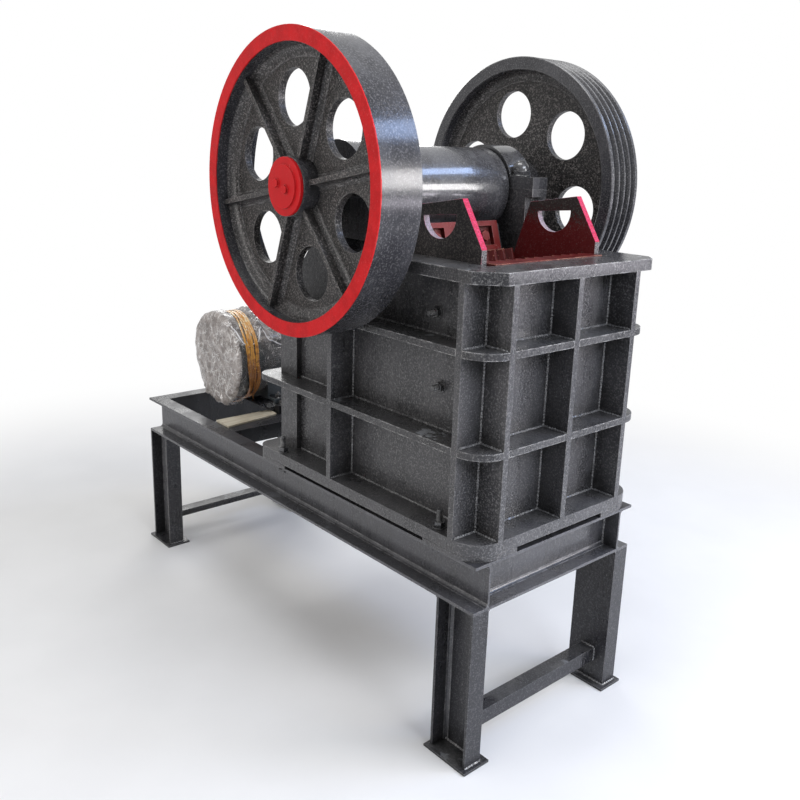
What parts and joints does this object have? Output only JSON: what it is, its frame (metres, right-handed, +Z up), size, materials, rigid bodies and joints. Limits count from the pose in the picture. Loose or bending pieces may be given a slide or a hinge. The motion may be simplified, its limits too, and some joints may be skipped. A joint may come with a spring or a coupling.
{
  "type": "jaw crusher",
  "caption": "Jaw crusher on a channel-steel stand, with an eccentric shaft carrying flywheel and grooved sheave, and its drive motor wrapped in film behind it.",
  "frame": {"origin": "on the floor, in the middle of the stand seen from above", "axes": "+X towards the feed end, +Y from the flywheel towards the belt sheave, +Z up"},
  "size_m": [1.914, 1.04, 1.943],
  "materials": {
    "grey_paint": "glossy",
    "red_paint": "glossy",
    "primer_red": "matt",
    "bare_steel": "satin",
    "motor_paint": "satin",
    "clear_film": "glossy",
    "yellow_twine": "matt",
    "plank_wood": "rough"
  },
  "bodies": {
    "frame": {"stand_rails": "grey_paint", "stand_crossbeams": "grey_paint", "motor_crossbeam": "grey_paint", "stand_legs": "grey_paint", "foot_plates": "grey_paint", "leg_ties": "grey_paint", "side_plates": "grey_paint", "front_plate": "grey_paint", "rear_plates": "grey_paint", "front_wings": "grey_paint", "front_middle_rib": "grey_paint", "side_ribs": "grey_paint", "base_flange": "grey_paint", "lower_shelf": "grey_paint", "upper_shelf": "grey_paint", "rear_shelves": "grey_paint", "rear_strips": "grey_paint", "base_pads": "grey_paint", "front_pads": "grey_paint", "top_flange": "grey_paint", "bearing_bases": "grey_paint", "bearing_caps": "grey_paint", "cheek_plates": "primer_red", "fixed_jaw_die": "primer_red", "toggle_block": "grey_paint", "toggle_plate": "primer_red", "motor_slide_rails": "grey_paint", "motor_housing": "motor_paint", "motor_pulley": "bare_steel", "motor_wrap": "clear_film", "wrap_twine": "yellow_twine", "packing_plank": "plank_wood"},
    "rotor": {"eccentric_shaft": "bare_steel", "flywheel_rim": "grey_paint", "flywheel_web": "grey_paint", "flywheel_ribs": "grey_paint", "sheave_rim": "grey_paint", "sheave_web": "grey_paint", "wheel_hubs": "grey_paint", "hub_caps": "red_paint"},
    "swing_jaw": {"swing_jaw": "grey_paint", "swing_jaw_die": "primer_red", "jaw_clamp": "primer_red", "tension_rod": "grey_paint"}
  },
  "joints": [
    {"name": "shaft_turn", "type": "hinge", "parent": "frame", "child": "rotor", "pos_m": [0.328, 0, 1.538], "axis": [0, 1, 0], "continuous": true},
    {"name": "jaw_swing", "type": "hinge", "parent": "rotor", "child": "swing_jaw", "pos_m": [0.328, 0, 1.528], "axis": [0, 1, 0], "continuous": true}
  ],
  "couplings": [
    {"joint": "jaw_swing", "follows": "shaft_turn", "ratio": -1}
  ]
}
